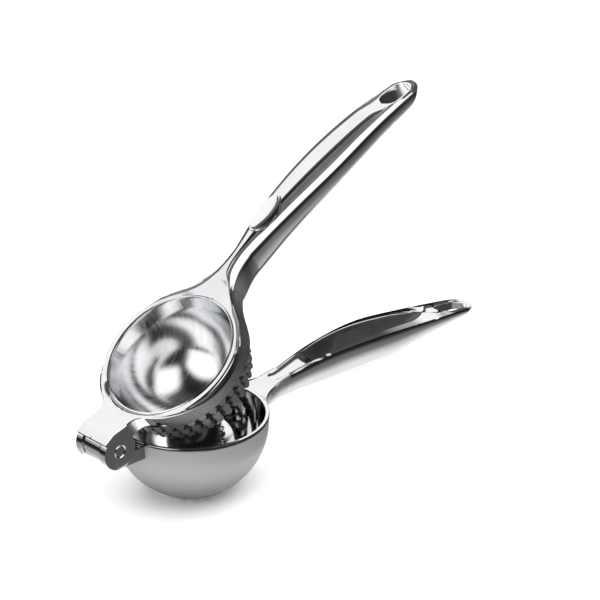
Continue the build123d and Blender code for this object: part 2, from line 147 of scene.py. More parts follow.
# ---- lower arm --------------------------------------------------------------------------
BOWL_OUTER = 38.1
BOWL_INNER = 36.5
BOWL_CENTRE = -5.8
BAND = 38.39                 # rim band's outer radius
BAND_TOP = -1.9
BAND_FOOT = -3.3
ROOT_AT = 84.0
ROOT_ANGLE = math.degrees(math.acos((ROOT_AT - REACH) / BOWL_OUTER))
ROOT_STEPS = 34
ROOT_HALF = 22.0
ROOT_POWER = 3               # how the flare swings out from the neck to the bowl
ROOT_DIP = (86.0, 92.0)      # its top comes up from the bowl's edge to the rim
LOWER_TIP = 247.7
LOWER_HALF = [(NECK, 6.0), (140.0, 9.0), (174.0, 12.0), (208.0, 10.7), (LOWER_TIP, 7.8)]
LOWER_RIM = [(ROOT_AT, -2.0), (90.0, -3.3), (97.0, -3.7), (104.0, -2.2), (NECK, -0.5),
             (140.0, 3.5), (174.0, 4.1), (208.0, 0.7), (LOWER_TIP, -4.4)]
LOWER_KEEL = [(ROOT_AT, -22.0), (NECK, -14.6), (140.0, -15.1), (174.0, -15.9),
              (208.0, -12.6), (LOWER_TIP, -9.4)]
CHANNEL = (104.0, 213.5)     # from and to
CHANNEL_WALL = [(104.0, 2.2), (140.0, 2.3), (160.0, 3.1), (180.0, 4.2), (213.5, 4.6)]
CHANNEL_FLOOR = 2.6
CHANNEL_OPENING = 6.0        # length over which the channel opens to its full width
CHANNEL_FALL = (122.0, 148.0)      # where its floor falls
CHANNEL_RUN_OUT = 17.0       # and the length over which it rises again
LENS_FROM = 139.0            # the channel's floor is painted dark as shade from here on
LENS_NOSE = 18.0             # length of the painted-shade lens's rounded start
LENS_SHARE = 0.99            # its width, as a share of the channel's
DISH_DEPTH = 1.0             # shallow dish before and behind the deep channel
CHANNEL_PAST = (CHANNEL[1] + 1.0, CHANNEL[1] + 8.0)
BRINK = 0.35                 # the channel's upper edge outside its wall
RIM_LEAST = 1.2
RIM_ROUND = 0.6
RIM_FALL = 0.6               # the rims fall outwards by this much
RIM_ROOT = (0.04, 0.4)       # shares of the root's angle that the rim's rails start at
# rails over the rim, and those across the channel as shares of its half width
RIM_RAILS = (0.0, 0.33, 0.67, 1.0)
CHANNEL_RAILS = (0.998, 0.985, 0.955, 0.9, 0.82, 0.72, 0.6, 0.47, 0.32, 0.16, 0.0)
LOWER_SLOT = (234.0, 18.0)
KNUCKLE = 8.4
KNUCKLE_HALF = 5.7
TONGUE_HALF = 9.7
TONGUE_TOP = -3.3
TONGUE_FOOT = -9.7
SWING = 10.2                 # room round the ears


# ---- helpers ------------------------------------------------------------------------------
def flow(at, knots):
    """Values at places on a smooth curve through the (place, value) knots."""
    places, values = np.array(knots, float).T
    last = len(places) - 1
    index = np.arange(last + 1)
    before, after = np.maximum(index - 1, 0), np.minimum(index + 1, last)
    slopes = (values[after] - values[before]) / (places[after] - places[before])
    at = np.clip(np.asarray(at, float), places[0], places[-1])
    i = np.clip(np.searchsorted(places, at) - 1, 0, last - 1)
    span = places[i + 1] - places[i]
    t = (at - places[i]) / span
    return (values[i] * (1 + 2 * t) * (1 - t) ** 2 + values[i + 1] * t * t * (3 - 2 * t)
            + span * t * (1 - t) * (slopes[i] * (1 - t) - slopes[i + 1] * t))


def ease(value, low, high):
    """0 below low, 1 above high and smooth between them."""
    t = np.clip((np.asarray(value, float) - low) / (high - low), 0, 1)
    return t * t * (3 - 2 * t)


def mix(a, b, share):
    return a * (1 - share) + b * share


def tall(values):
    """A column of values, to scale rows of points with."""
    return np.asarray(values, float)[:, None]


def point(x, y, z):
    """Points as rows, from numbers or arrays."""
    return np.stack(np.broadcast_arrays(*[np.asarray(v, float) for v in (x, y, z)]), -1)


def path_length(path):
    """Length along a path at each of its points."""
    steps = np.linalg.norm(np.diff(path, axis=0), axis=1)
    return np.concatenate([[0.0], np.cumsum(steps)])


def along(path, shares):
    """Points at these shares of a path's length."""
    lengths = path_length(path)
    at = np.asarray(shares) * lengths[-1]
    return np.stack([np.interp(at, lengths, path[:, i]) for i in range(path.shape[1])], -1)


def at_height(plan, z):
    return point(plan[:, 0], plan[:, 1], z)


def rails_between(a, b, steps):
    """Evenly spaced rails from a to b, with both."""
    return [mix(a, b, k / steps) for k in range(steps + 1)]


def belly_rail(x, wide, low, keel, share):
    """Rail of a handle's round underside, at a share of the turn from its widest line to
    the line low. Keel is the height below the middle."""
    half = np.maximum(wide[:, 1], 1e-6)
    reach = np.arccos(np.clip(low[:, 1] / half, 0, 1))
    reach[-1] = reach[-2]
    turn = reach * share
    return point(mix(x, low[:, 0], share), half * np.cos(turn),
                 wide[:, 2] - (wide[:, 2] - keel) * np.sin(turn))


def round_top(inner, outer, top, radius, cut):
    """Profile of a rim with two rounded corners."""
    cut = cut * radius
    return [(inner, top - radius), (inner + cut, top - cut), (inner + radius, top),
            (outer - radius, top), (outer - cut, top - cut), (outer, top - radius)]


def ring_point(angle, radius, height=0.0):
    """Point about the bowl and cup axis; the angle starts at the handle, in degrees."""
    turn = np.radians(angle)
    return point(REACH + radius * np.cos(turn), radius * np.sin(turn), height)


def lower_place(points):
    """From the lower arm's frame to the object's, in metres."""
    return (np.asarray(points, float) + HINGE) * MM


def upper_place(points):
    """From the upper arm's frame to the object's, in metres."""
    p = np.asarray(points, float)
    c, s = math.cos(math.radians(OPEN_ANGLE)), math.sin(math.radians(OPEN_ANGLE))
    turned = np.stack([p[..., 0] * c - p[..., 2] * s, p[..., 1],
                       p[..., 0] * s + p[..., 2] * c], -1)
    return lower_place(turned)


def slot_paths(slot, tip, half_knots, count):
    """Outline round a handle's tip and the slot's edge beside it, from the place where
    the two start to run together. Gives both paths and the tip's narrowing."""
    turn = np.radians(np.linspace(0, 90, count + 1)[1:])
    tip_x = tip - TIP_ROUND + TIP_ROUND * np.sin(turn)
    outer = point(tip_x, flow(tip_x, half_knots) * np.cos(turn), 0)
    tail = slot[0] + slot[1] / 2 - SLOT_HALF
    inner = point(tail + SLOT_HALF * np.sin(turn), SLOT_HALF * np.cos(turn), 0)
    return outer, inner, np.cos(turn)


def slot_side(slot):
    """Slot's edge from its front on the middle line to the start of its round end."""
    quarter = np.radians(np.linspace(0, 90, 20))
    nose = slot[0] - slot[1] / 2 + SLOT_HALF
    tail = slot[0] + slot[1] / 2 - SLOT_HALF
    return np.concatenate([point(nose - SLOT_HALF * np.cos(quarter),
                                 SLOT_HALF * np.sin(quarter), 0), [[tail, SLOT_HALF, 0]]])


def middle_path(run, settle, meets, slot):
    """Middle line beside the outline's places, squeezed towards the slot's front."""
    front = slot[0] - slot[1] / 2
    squeezed = settle + (front - settle) * ((run - settle) / (meets - settle))
    return point(np.where(run < settle, run, squeezed), 0, 0)


def outward_of(outline):
    """Outward direction square to an outline, in plan."""
    tangent = np.gradient(outline[:, :2], axis=0)
    tangent /= np.maximum(np.linalg.norm(tangent, axis=1), 1e-9)[:, None]
    return np.stack([-tangent[:, 1], tangent[:, 0], 0 * tangent[:, 0]], -1)


class Cast:
    """Collects nets of points and makes one smooth mesh of them."""

    def __init__(self, name, place, body, node):
        self.name, self.place, self.body, self.node = name, place, body, node
        self.points, self.faces, self.skins = [], [], []

    def net(self, rails, both_sides=False, closed=False, skin=0):
        """Quads between rails, each a list of as many points. One more, mirrored in the
        arm's middle plane, where both_sides is true. skin is a material's number or an
        array of them."""
        grid = np.array(rails, float)
        rows, columns = grid.shape[:2]
        spans = columns if closed else columns - 1
        skins = np.broadcast_to(skin, (rows - 1, spans))
        for g in [grid] + ([grid * (1, -1, 1)] if both_sides else []):
            start = sum(len(p) for p in self.points)
            self.points.append(g.reshape(-1, 3))
            for i in range(rows - 1):
                for j in range(spans):
                    a = start + i * columns + j
                    b = start + i * columns + (j + 1) % columns
                    self.faces.append((a, b, b + columns, a + columns))
                    self.skins.append(int(skins[i, j]))

    def turned(self, profile, turns, skin=0):
        """Surface turned about the bowl and cup axis from (radius, height) points."""
        self.net([ring_point(turns, r, z) for r, z in profile], closed=True, skin=skin)

    def slot_wall(self, slot, inner, top, low):
        """Wall of a hang slot between the rails of its upper and its lower edge."""
        inside = inner[:, 0] > slot[0] - slot[1] / 2 - NEAR
        self.net(rails_between(top[inside], low[inside], 5), both_sides=True)

    def make(self, materials, crease=38.0, weld=0.004):
        """Welds the nets, points every face outwards and shades them smooth up to the
        crease angle."""
        mesh = bpy.data.meshes.new(self.name)
        mesh.from_pydata(self.place(np.concatenate(self.points)).tolist(), [], self.faces)
        for material in materials:
            mesh.materials.append(material)
        for face, skin in zip(mesh.polygons, self.skins):
            face.material_index = skin
        work = bmesh.new()
        work.from_mesh(mesh)
        bmesh.ops.remove_doubles(work, verts=work.verts, dist=weld * MM)
        bmesh.ops.dissolve_degenerate(work, edges=work.edges, dist=weld * MM)
        bmesh.ops.recalc_face_normals(work, faces=work.faces)
        for face in work.faces:
            face.smooth = True
        for edge in work.edges:
            if len(edge.link_faces) == 2:
                edge.smooth = edge.calc_face_angle(0.0) < math.radians(crease)
        work.to_mesh(mesh)
        work.free()
        piece = bpy.data.objects.new(self.name, mesh)
        bpy.context.scene.collection.objects.link(piece)
        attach(piece, self.body)
        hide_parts(self.node)


# ---- materials ----------------------------------------------------------------------------
class Nodes:
    """The node tree of a material or a world, with a few short ways to wire it."""

    def __init__(self, owner):
        owner.use_nodes = True
        self.tree = owner.node_tree

    def add(self, kind, **values):
        node = self.tree.nodes.new(kind)
        for key, value in values.items():
            setattr(node, key, value)
        return node

    def feed(self, node, name, value):
        """Sets an input to a number or wires an output into it."""
        if isinstance(value, bpy.types.NodeSocket):
            self.tree.links.new(value, node.inputs[name])
        else:
            node.inputs[name].default_value = value

    def axes(self, vector):
        node = self.add("ShaderNodeSeparateXYZ")
        self.feed(node, "Vector", vector)
        return [node.outputs[name] for name in "XYZ"]

    def spread(self, value, low, high, start=0.3, end=0.7):
        """Smooth step from low to high while the value goes from start to end."""
        node = self.add("ShaderNodeMapRange", interpolation_type="SMOOTHSTEP")
        for name, number in [("Value", value), ("From Min", start), ("From Max", end),
                             ("To Min", low), ("To Max", high)]:
            self.feed(node, name, number)
        return node.outputs["Result"]

    def maths(self, operation, *values):
        """Joins the values from left to right."""
        result = values[0]
        for value in values[1:]:
            node = self.add("ShaderNodeMath", operation=operation)
            self.feed(node, 0, result)
            self.feed(node, 1, value)
            result = node.outputs[0]
        return result


class Shader(Nodes):
    """A Principled material. Noise scales are periods per metre."""

    def __init__(self, name, metallic=1.0):
        self.material = bpy.data.materials.new(name)
        super().__init__(self.material)
        self.main = self.tree.nodes["Principled BSDF"]
        self.feed(self.main, "Metallic", metallic)
        self.place = self.add("ShaderNodeTexCoord").outputs["Object"]

    def framed(self, centre, tilt=0.0):
        """Coordinates about a point of the object, in a frame tilted about Y."""
        node = self.add("ShaderNodeMapping", vector_type="TEXTURE")
        self.feed(node, "Vector", self.place)
        self.feed(node, "Location", tuple(centre))
        self.feed(node, "Rotation", (0, -math.radians(tilt), 0))
        return node.outputs["Vector"]

    def length(self, vector):
        node = self.add("ShaderNodeVectorMath", operation="LENGTH")
        self.feed(node, 0, vector)
        return node.outputs["Value"]

    def rings(self, vector, scale, detail=2.0):
        """Noise over the distance from zero."""
        node = self.add("ShaderNodeTexNoise", noise_dimensions="1D")
        self.feed(node, "W", self.maths("MULTIPLY", self.length(vector), scale))
        self.feed(node, "Scale", 1.0)
        self.feed(node, "Detail", detail)
        return node.outputs["Fac"]

    def stretched(self, scale, turn=(0, 0, 0), source=None):
        node = self.add("ShaderNodeMapping")
        self.feed(node, "Vector", source or self.place)
        self.feed(node, "Scale", scale)
        self.feed(node, "Rotation", tuple(math.radians(a) for a in turn))
        return node.outputs["Vector"]

    def noise(self, scale, detail=2.0, vector=None):
        node = self.add("ShaderNodeTexNoise")
        self.feed(node, "Vector", vector or self.place)
        self.feed(node, "Scale", scale)
        self.feed(node, "Detail", detail)
        return node.outputs["Fac"]

    def blend(self, share, low, high):
        """Colour from low to high, each a colour or an output, by a share from 0 to 1."""
        node = self.add("ShaderNodeMix", data_type="RGBA")
        self.feed(node, 0, share)
        for index, shade in ((6, low), (7, high)):
            is_output = isinstance(shade, bpy.types.NodeSocket)
            self.feed(node, index, shade if is_output else (*shade, 1))
        return node.outputs[2]

    def bumps(self, *layers):
        """Stacks (height, strength, distance in mm) layers and gives their normal."""
        normal = None
        for height, strength, distance in layers:
            node = self.add("ShaderNodeBump")
            self.feed(node, "Height", height)
            self.feed(node, "Strength", strength)
            self.feed(node, "Distance", distance * MM)
            if normal:
                self.feed(node, "Normal", normal)
            normal = node.outputs["Normal"]
        return normal

    def finish(self, colour, roughness, normal):
        self.feed(self.main, "Base Color", colour)
        self.feed(self.main, "Roughness", roughness)
        self.feed(self.main, "Normal", normal)
        return self.material


CHROME = (0.86, 0.865, 0.875)
CHROME_DIM = (0.79, 0.795, 0.81)
STEEL = (0.66, 0.665, 0.675)
POLISHED = (0.8, 0.805, 0.815)
POLISHED_DIM = (0.7, 0.705, 0.715)
BRUSHED = (0.93, 0.933, 0.94)
BRUSHED_TURN = (0, 0, 38)


def polished_metal(name, bright=CHROME, dim=CHROME_DIM):
    """Hand-polished casting: slight waves, faint wiping marks and fine hairlines."""
    s = Shader(name)
    waves = s.noise(70.0, 1.0)
    wiping = s.noise(30.0, 4.0)
    hairs = s.noise(1.0, 3.0, s.stretched((250.0, 3500.0, 3500.0), (8, 5, 12)))
    colour = s.blend(s.spread(wiping, 0.0, 1.0), dim, bright)
    roughness = s.spread(s.maths("ADD", wiping, s.maths("MULTIPLY", hairs, 0.3)),
                         0.02, 0.06, 0.45, 0.85)
    return s.finish(colour, roughness, s.bumps((waves, 0.06, 0.2), (hairs, 0.02, 0.02)))


def painted_shade_metal(name, metallic, dim, bright, rough):
    """Painted shade for grooves, hollows and shaded faces: a darkened colour, grainy and only
    half polished.
    """
    s = Shader(name, metallic)
    grain = s.noise(2500.0, 3.0)
    cloud = s.noise(60.0, 3.0)
    colour = s.blend(s.spread(cloud, 0.0, 1.0), (dim, dim, 1.03 * dim),
                     (bright, bright, 1.03 * bright))
    return s.finish(colour, s.spread(grain, *rough), s.bumps((grain, 0.08, 0.03)))


def satin_metal():
    """Bowl: bead-blasted satin with faint turning lines outside, its colour painted darker
    towards the bottom as shade; polished inside.
    """
    s = Shader("satin_metal")
    centre = lower_place((REACH, 0, BOWL_CENTRE))
    offset = s.add("ShaderNodeVectorMath", operation="SUBTRACT")
    s.feed(offset, 0, s.place)
    offset.inputs[1].default_value = centre
    middle = (BOWL_INNER + BOWL_OUTER) / 2 * MM
    outside = s.spread(s.length(offset.outputs["Vector"]), 0.0, 1.0,
                       middle - 0.0002, middle + 0.0002)
    grain = s.noise(2200.0, 3.0)
    turning = s.noise(1.0, 2.0, s.stretched((40.0, 40.0, 2600.0)))
    cloud = s.noise(45.0, 3.0)
    # painted shade: the outside's colour darkens towards the bowl's bottom
    lift = s.spread(s.axes(s.place)[2], 0.0, 1.0, 0.0, 0.032)
    satin = s.blend(lift, (0.08, 0.081, 0.083), (0.35, 0.353, 0.36))
    colour = s.blend(outside, s.blend(s.spread(cloud, 0.0, 1.0), POLISHED_DIM, POLISHED),
                     satin)
    s.feed(s.main, "Metallic", s.spread(outside, 1.0, 0.4, 0.0, 1.0))
    rough_out = s.spread(s.maths("ADD", grain, s.maths("MULTIPLY", turning, 0.5)),
                         0.36, 0.46, 0.5, 1.0)
    rough_in = s.spread(cloud, 0.04, 0.08)
    roughness = s.spread(outside, rough_in, rough_out, 0.0, 1.0)
    height = s.maths("MULTIPLY", s.maths("ADD", grain, turning), outside)
    return s.finish(colour, roughness, s.bumps((height, 0.12, 0.03)))


def side_metal():
    """Upper arm's sides: painted dark as shade and half polished on the collar, polished on the
    handle.
    """
    s = Shader("side_metal")
    from_hinge = s.axes(s.framed(upper_place((0, 0, 0)), OPEN_ANGLE))[0]
    share = s.spread(from_hinge, 0.0, 1.0, 0.086, NECK * MM)
    cloud = s.spread(s.noise(60.0, 3.0), 0.0, 1.0)
    # painted shade: dark colour on the collar, turning to polished metal towards the neck
    colour = s.blend(share, s.blend(cloud, (0.1, 0.1, 0.103), (0.14, 0.14, 0.144)),
                     s.blend(cloud, POLISHED_DIM, POLISHED))
    s.feed(s.main, "Metallic", s.spread(share, 0.6, 1.0, 0.0, 1.0))
    roughness = s.spread(share, s.spread(s.noise(2500.0, 3.0), 0.22, 0.32),
                         s.spread(s.noise(30.0, 4.0), 0.09, 0.14), 0.0, 1.0)
    return s.finish(colour, roughness, s.bumps((s.noise(70.0, 1.0), 0.06, 0.2)))


def spun_metal():
    """Inside of the cup: fine straight brushing over faint spinning rings."""
    s = Shader("spun_metal")
    inside = s.framed(upper_place((REACH, 0, CUP_CENTRE)), OPEN_ANGLE)
    brushing = s.noise(1.0, 4.0, s.stretched((90.0, 2600.0, 90.0), BRUSHED_TURN, inside))
    bands = s.noise(1.0, 2.0, s.stretched((14.0, 240.0, 14.0), BRUSHED_TURN, inside))
    rings = s.rings(s.stretched((1.0, 1.0, 0.0), source=inside), 900.0, 3.0)
    colour = s.blend(s.spread(s.maths("ADD", brushing, bands), 0.0, 1.0, 0.75, 1.25),
                     POLISHED, BRUSHED)
    roughness = s.spread(brushing, 0.12, 0.2)
    return s.finish(colour, roughness, s.bumps((bands, 0.05, 0.1), (brushing, 0.4, 0.025),
                                               (rings, 0.02, 0.02)))


def turned_metal(name, rough):
    """Lathe-turned steel: fine rings about the hinge axis."""
    s = Shader(name)
    about_pin = s.stretched((1.0, 0.0, 1.0), source=s.framed(lower_place((0, 0, 0))))
    rings = s.rings(about_pin, 5000.0)
    return s.finish(s.blend(s.spread(rings, 0.0, 1.0), STEEL, CHROME),
                    s.spread(s.noise(200.0), *rough), s.bumps((rings, 0.12, 0.02)))


polish = polished_metal("polished_metal")
# painted shade in the upper arm's grooves and round the badge in its seat
recess_shade = painted_shade_metal("painted_shade_metal", 0.4, 0.17, 0.24, (0.3, 0.42))
side = side_metal()
# painted shade on the cup's rib faces and its round bottom
rib_shade_metal = painted_shade_metal("rib_shade_metal", 0.6, 0.14, 0.19, (0.22, 0.32))
# darkest painted shade: under the cup's ribs, on the badge's side, in the channel's lens and on
# the tongue's sides
deep_shade_metal = painted_shade_metal("deep_shade_metal", 0.4, 0.08, 0.12, (0.3, 0.4))
satin = satin_metal()
spun = spun_metal()
badge_polish = polished_metal("badge_metal", (0.9, 0.905, 0.915), (0.85, 0.855, 0.865))
pin_metal = turned_metal("pin_metal", (0.05, 0.12))
washer_metal = turned_metal("washer_metal", (0.08, 0.2))


# ---- upper arm ----------------------------------------------------------------------------
def top_line(x):
    """Height of the upper arm's outer edge."""
    share = (x - REACH) / RING
    ring = RING_SIDE_TOP + np.where(share < 0, RING_HINGE_RISE, RING_HANDLE_RISE) * share ** 2
    places, values = np.array(PLATE_LINE).T
    plate = np.interp(x, places, values)
    hinge_side = mix(plate, ring, ease(x, 13.5, 17.0))
    return np.where(x < FLARE_START, hinge_side, flow(x, UPPER_RIM))


def surface_height(p):
    """Top of the ring, plate and spine root at a point of the plan."""
    x, y = p[:, 0], p[:, 1]
    beyond = np.maximum(np.hypot(x - REACH, y) - BORE, 0)
    share = np.clip(beyond / (RING - BORE), 0, 1)
    outer = top_line(np.minimum(x, FLARE_START))
    dish = 1 - (1 - share) ** 3
    fall = share ** 5
    up = ease(outer - BORE_TOP, -1.0, 1.0)
    flange = BORE_TOP + (outer - BORE_TOP) * mix(fall, dish, up)
    spine = flow(REACH + BORE + beyond, SPINE_TOP)
    angle = np.degrees(np.arctan2(y, x - REACH))
    return mix(spine, flange, ease(angle, 14, 50))


def on_surface(p):
    return at_height(p, surface_height(p))


class UpperRails:
    """Outline and inner edge of the upper arm on one side, with the parts' ends."""

    def __init__(self):
        beside = CLEVIS_HALF + FILLET
        fillet_at = REACH - math.sqrt((RING + FILLET) ** 2 - beside ** 2)
        ring_start = 180.0 - math.degrees(math.asin(beside / (RING + FILLET)))
        ring_end = math.degrees(math.acos((FLARE_START - REACH) / RING))
        self.angles = np.linspace(ring_start, ring_end, 96)[1:]
        straight = point(np.linspace(PLATE_BACK, fillet_at, 12), CLEVIS_HALF, 0)
        swing = np.radians(np.linspace(0, ring_start - 90.0, 13)[1:])
        fillet = point(fillet_at + FILLET * np.sin(swing),
                       beside - FILLET * np.cos(swing), 0)
        ring = ring_point(self.angles, RING)
        flare_x = np.linspace(FLARE_START, NECK, 40)[1:]
        root_half, neck_half = ring[-1, 1], UPPER_HALF[0][1]
        widening = ((NECK - flare_x) / (NECK - FLARE_START)) ** FLARE_POWER
        flare = point(flare_x, mix(neck_half, root_half, widening), 0)
        handle_x = np.linspace(NECK, UPPER_TIP - TIP_ROUND, 110)[1:]
        handle = point(handle_x, flow(handle_x, UPPER_HALF), 0)
        tip, slot_end, cosines = slot_paths(UPPER_SLOT, UPPER_TIP, UPPER_HALF, 24)
        parts = [straight, fillet, ring, flare, handle, tip]
        self.outline = np.concatenate(parts)
        self.ends = np.cumsum([len(p) for p in parts])
        self.narrow = np.concatenate([np.ones(self.ends[4]), cosines])
        self.outward = outward_of(self.outline)

        settle, meets = UPPER_SQUEEZE
        hinge_path = np.concatenate([[[PLATE_BACK, 0, 0]],
                                     ring_point(np.linspace(180, ring_start, 12), BORE)])
        handle_path = np.concatenate([ring_point(np.linspace(ring_end, 0, 30), BORE),
                                      [[NECK, 0, 0]]])
        hinge_share = path_length(self.outline[:self.ends[1]])
        self.flare_share = path_length(self.outline[self.ends[2] - 1:self.ends[3]])
        self.flare_share = self.flare_share[1:] / self.flare_share[-1]
        run = handle_x[handle_x <= meets]
        rest = len(handle_x) - len(run)
        self.inner = np.concatenate([
            along(hinge_path, hinge_share / hinge_share[-1]),
            ring_point(self.angles, BORE),
            along(handle_path, self.flare_share),
            middle_path(run, settle, meets, UPPER_SLOT),
            along(slot_side(UPPER_SLOT), np.linspace(0, 1, rest + 1)[1:]),
            slot_end])
        self.ring_end = ring_end


def build_upper_arm():
    """Ring, clevis plate and handle."""
    cast = Cast("upper_arm_cast", upper_place, "upper", "upper_arm")
    rails = UpperRails()
    outline, outward, inner, ends = rails.outline, rails.outward, rails.inner, rails.ends
    narrow = rails.narrow
    x = outline[:, 0]
    n = len(outline)
    hinge_part = np.arange(n) < ends[1]
    height = top_line(x)
    soft = mix(EDGE, SOFT_EDGE, ease(np.arange(n), ends[1], ends[1] + 8)) * narrow
    edge = outline - outward * tall(soft) + UP * tall(height)
    inner_top = on_surface(inner)

    # ridge: upper edge of the spine, which leaves the ring's outer edge
    angle = np.degrees(np.arctan2(outline[:, 1], x - REACH))
    opening = np.where(hinge_part, 0, ease(-angle, -STRIP_SPLIT, -30.0))
    lag = np.where(x > FLARE_START, flow(x, SPINE_LAG), 0)
    ring_ridge = ring_point(angle, RING - mix(*RIDGE_INSET, opening))
    handle_ridge = point(x - lag, flow(x - lag, SPINE_HALF), 0)
    ridge = mix(ring_ridge, handle_ridge, tall(ease(x, FLARE_START, FLARE_START + 5.0)))
    ridge[hinge_part] = (outline - outward * RIDGE_INSET[0])[hinge_part]
    ridge = mix(ridge, mix(inner, outline, SPINE_LOOP), tall(ease(x, *SLOT_BLEND)))
    ridge = on_surface(ridge)

    # strip between the outer edge and the groove
    strip = np.where(x > FLARE_START, flow(x, STRIP_WIDTH), mix(1.1, 0.6, opening))
    room = np.linalg.norm((outline - ridge)[:, :2], axis=1)
    strip_inner = outline - outward * tall(np.minimum(strip * narrow + soft * 0.3,
                                                      0.62 * room))
    strip_z = mix(surface_height(strip_inner), height,
                  np.where(hinge_part, 0, ease(x, 60, 92)))
    strip_z += STRIP_SLOPE * strip * narrow * np.where(hinge_part, 0, ease(x, 86, 104))
    strip_inner = strip_inner * FLAT + UP * tall(strip_z)

    # groove: lip, floor, cove and the spine's steep wall up to its rounded edge
    depth = (GROOVE_DEPTH * opening * mix(0.45, 1.0, ease(x, 84, 112))
             * mix(1, 0.7, ease(x, 222, 232)))
    floor_z = strip_z - depth
    top_z = ridge[:, 2]
    gap = (ridge - strip_inner) * FLAT
    width = np.linalg.norm(gap, axis=1)
    across = gap / tall(np.maximum(width, 1e-6))
    inward = (inner_top - ridge) * FLAT
    inward_length = np.linalg.norm(inward, axis=1)
    inward = inward / tall(np.maximum(inward_length, 1e-6))
    wall = np.maximum(top_z - floor_z, 0.05)
    cove = np.minimum(np.minimum(0.9, 0.3 * width), 0.4 * wall)
    draft = np.minimum(SPINE_DRAFT, 0.15 * width)
    crown = np.minimum(np.minimum(CROWN_ROUND, 0.45 * wall), 0.45 * inward_length)
    crest = on_surface(ridge + inward * tall(crown))
    shut = tall(1 - np.minimum(opening * 6, 1))

    def groove_rail(plan, z, share):
        """A rail of the groove, which lies flat in the flange where there is none."""
        flat = on_surface(mix(strip_inner, crest, share))
        return mix(plan * FLAT + UP * tall(z), flat, shut)

    groove = [
        groove_rail(strip_inner + across * tall(np.minimum(0.2, 0.08 * width)),
                    strip_z - 0.35 * depth, 0.06),
        groove_rail(strip_inner + across * tall(np.minimum(0.35, 0.16 * width)),
                    strip_z - 0.9 * depth, 0.12),
        groove_rail(strip_inner + across * tall(np.minimum(0.7, 0.3 * width)),
                    floor_z, 0.2),
        groove_rail(ridge - across * tall(draft + cove), floor_z, 0.45),
        groove_rail(ridge - across * tall(draft + CORNER * cove),
                    floor_z + CORNER * cove, 0.55),
        groove_rail(ridge - across * tall(draft), floor_z + cove, 0.62),
        groove_rail(ridge - across * tall(0.4 * draft),
                    mix(floor_z + cove, top_z - crown, 0.5), 0.7),
        groove_rail(ridge, top_z - crown, 0.8),
        groove_rail(ridge + inward * tall(CORNER * crown), top_z - CORNER * crown, 0.9)]
    flat_rails = rails_between(edge, strip_inner, 3)
    crown_rails = [on_surface(rail) for rail in rails_between(crest, inner_top, 13)]
    rows = flat_rails + groove + crown_rails
    skin = np.zeros((len(rows) - 1, n - 1), int)
    first = len(flat_rails)
    # painted shade: the groove's lip, floor and walls take the darker colour
    skin[first:first + 7, depth[:-1] > 0.12] = 1
    cast.net(rows, both_sides=True, skin=skin)

    # side: rounded edge, shoulder, then the ring's cone or the handle's round belly
    s = slice(ends[0] - 1, n)
    on = ease(x, FLARE_START, FLARE_START + 20.0)
    drop = mix(soft, SHOULDER_DROP * narrow, on)
    wide = at_height(outline + outward * tall((SHOULDER_INSET - SOFT_EDGE) * on * narrow),
                     height - drop)
    round_edge = at_height(outline - outward * tall(CORNER * soft), height - CORNER * soft)
    round_edge = mix(round_edge, mix(edge, wide, 0.3), tall(0.5 * on))

    foot = np.zeros((n, 3))
    ring = slice(ends[1], ends[2])
    flare = slice(ends[2], ends[3])
    handle = slice(ends[3], n)
    from_ears = np.where(hinge_part, 0, rails.angles[0] - angle)
    tuck_in = ease(from_ears, 0, 0.6 * COLLAR_TURN)
    drop_in = ease(from_ears, 0.3 * COLLAR_TURN, 1.2 * COLLAR_TURN)
    foot[hinge_part] = outline[hinge_part]
    ring_foot = mix(HINGE_FOOT, HANDLE_FOOT, ease(-rails.angles, -78.0, -45.0))
    foot[ring] = mix(outline[ring], ring_point(rails.angles, ring_foot), tall(tuck_in[ring]))
    foot_path = np.concatenate([
        ring_point(np.linspace(rails.ring_end, 0, 30), HANDLE_FOOT), [[NECK, 0, 0]]])
    foot[flare] = along(foot_path, rails.flare_share)
    low = inner[handle].copy()
    keel_here = flow(low[:, 0], UPPER_KEEL)
    in_slot = ease(low[:, 0], 205.0, 222.0)
    low[:, 0] -= (in_slot * math.tan(math.radians(SLOT_TILT)) * narrow[handle]
                  * (surface_height(low) - keel_here - 2.0))
    low[:, 0] = np.maximum.accumulate(low[:, 0])
    foot[handle] = low
    foot[:, 2] = flow(foot[:, 0], UPPER_KEEL)
    foot[:ends[2], 2] = mix(EAR_FOOT, RING_BOTTOM, drop_in[:ends[2]])
    foot[hinge_part, 2] = EAR_FOOT
    off_middle = foot[flare, 1] > 0.01
    foot[flare, 2] = np.where(off_middle, RING_BOTTOM, foot[flare, 2])

    keel = flow(x, UPPER_KEEL)
    foot[handle, 2] = belly_rail(x, wide, foot, keel, 1.0)[handle, 2]
    boxy = mix(BOXY_POWER, 1.0, ease(x[flare], BOXY_TO, NECK))
    belly = []
    for k in range(1, BELLY_STEPS):
        share = k / BELLY_STEPS
        rail = belly_rail(x, wide, foot, keel, share)
        rail[:ends[2]] = mix(wide, foot, share)[:ends[2]]
        turn = math.pi / 2 * share
        inwards, downwards = 1 - math.cos(turn) ** boxy, math.sin(turn) ** boxy
        shares = np.stack([inwards, inwards, downwards], -1)
        rail[flare] = mix(wide[flare], foot[flare], shares)
        belly.append(rail)
    flank = [edge, round_edge, wide] + belly + [foot]
    # the sides' material is painted dark as shade on the collar
    skin = np.repeat([0, 0] + [2] * (len(flank) - 3), n - ends[0]).reshape(-1, n - ends[0])
    skin[:, :ends[1] - ends[0]] = 0
    cast.net([rail[s] for rail in flank], both_sides=True, skin=skin)

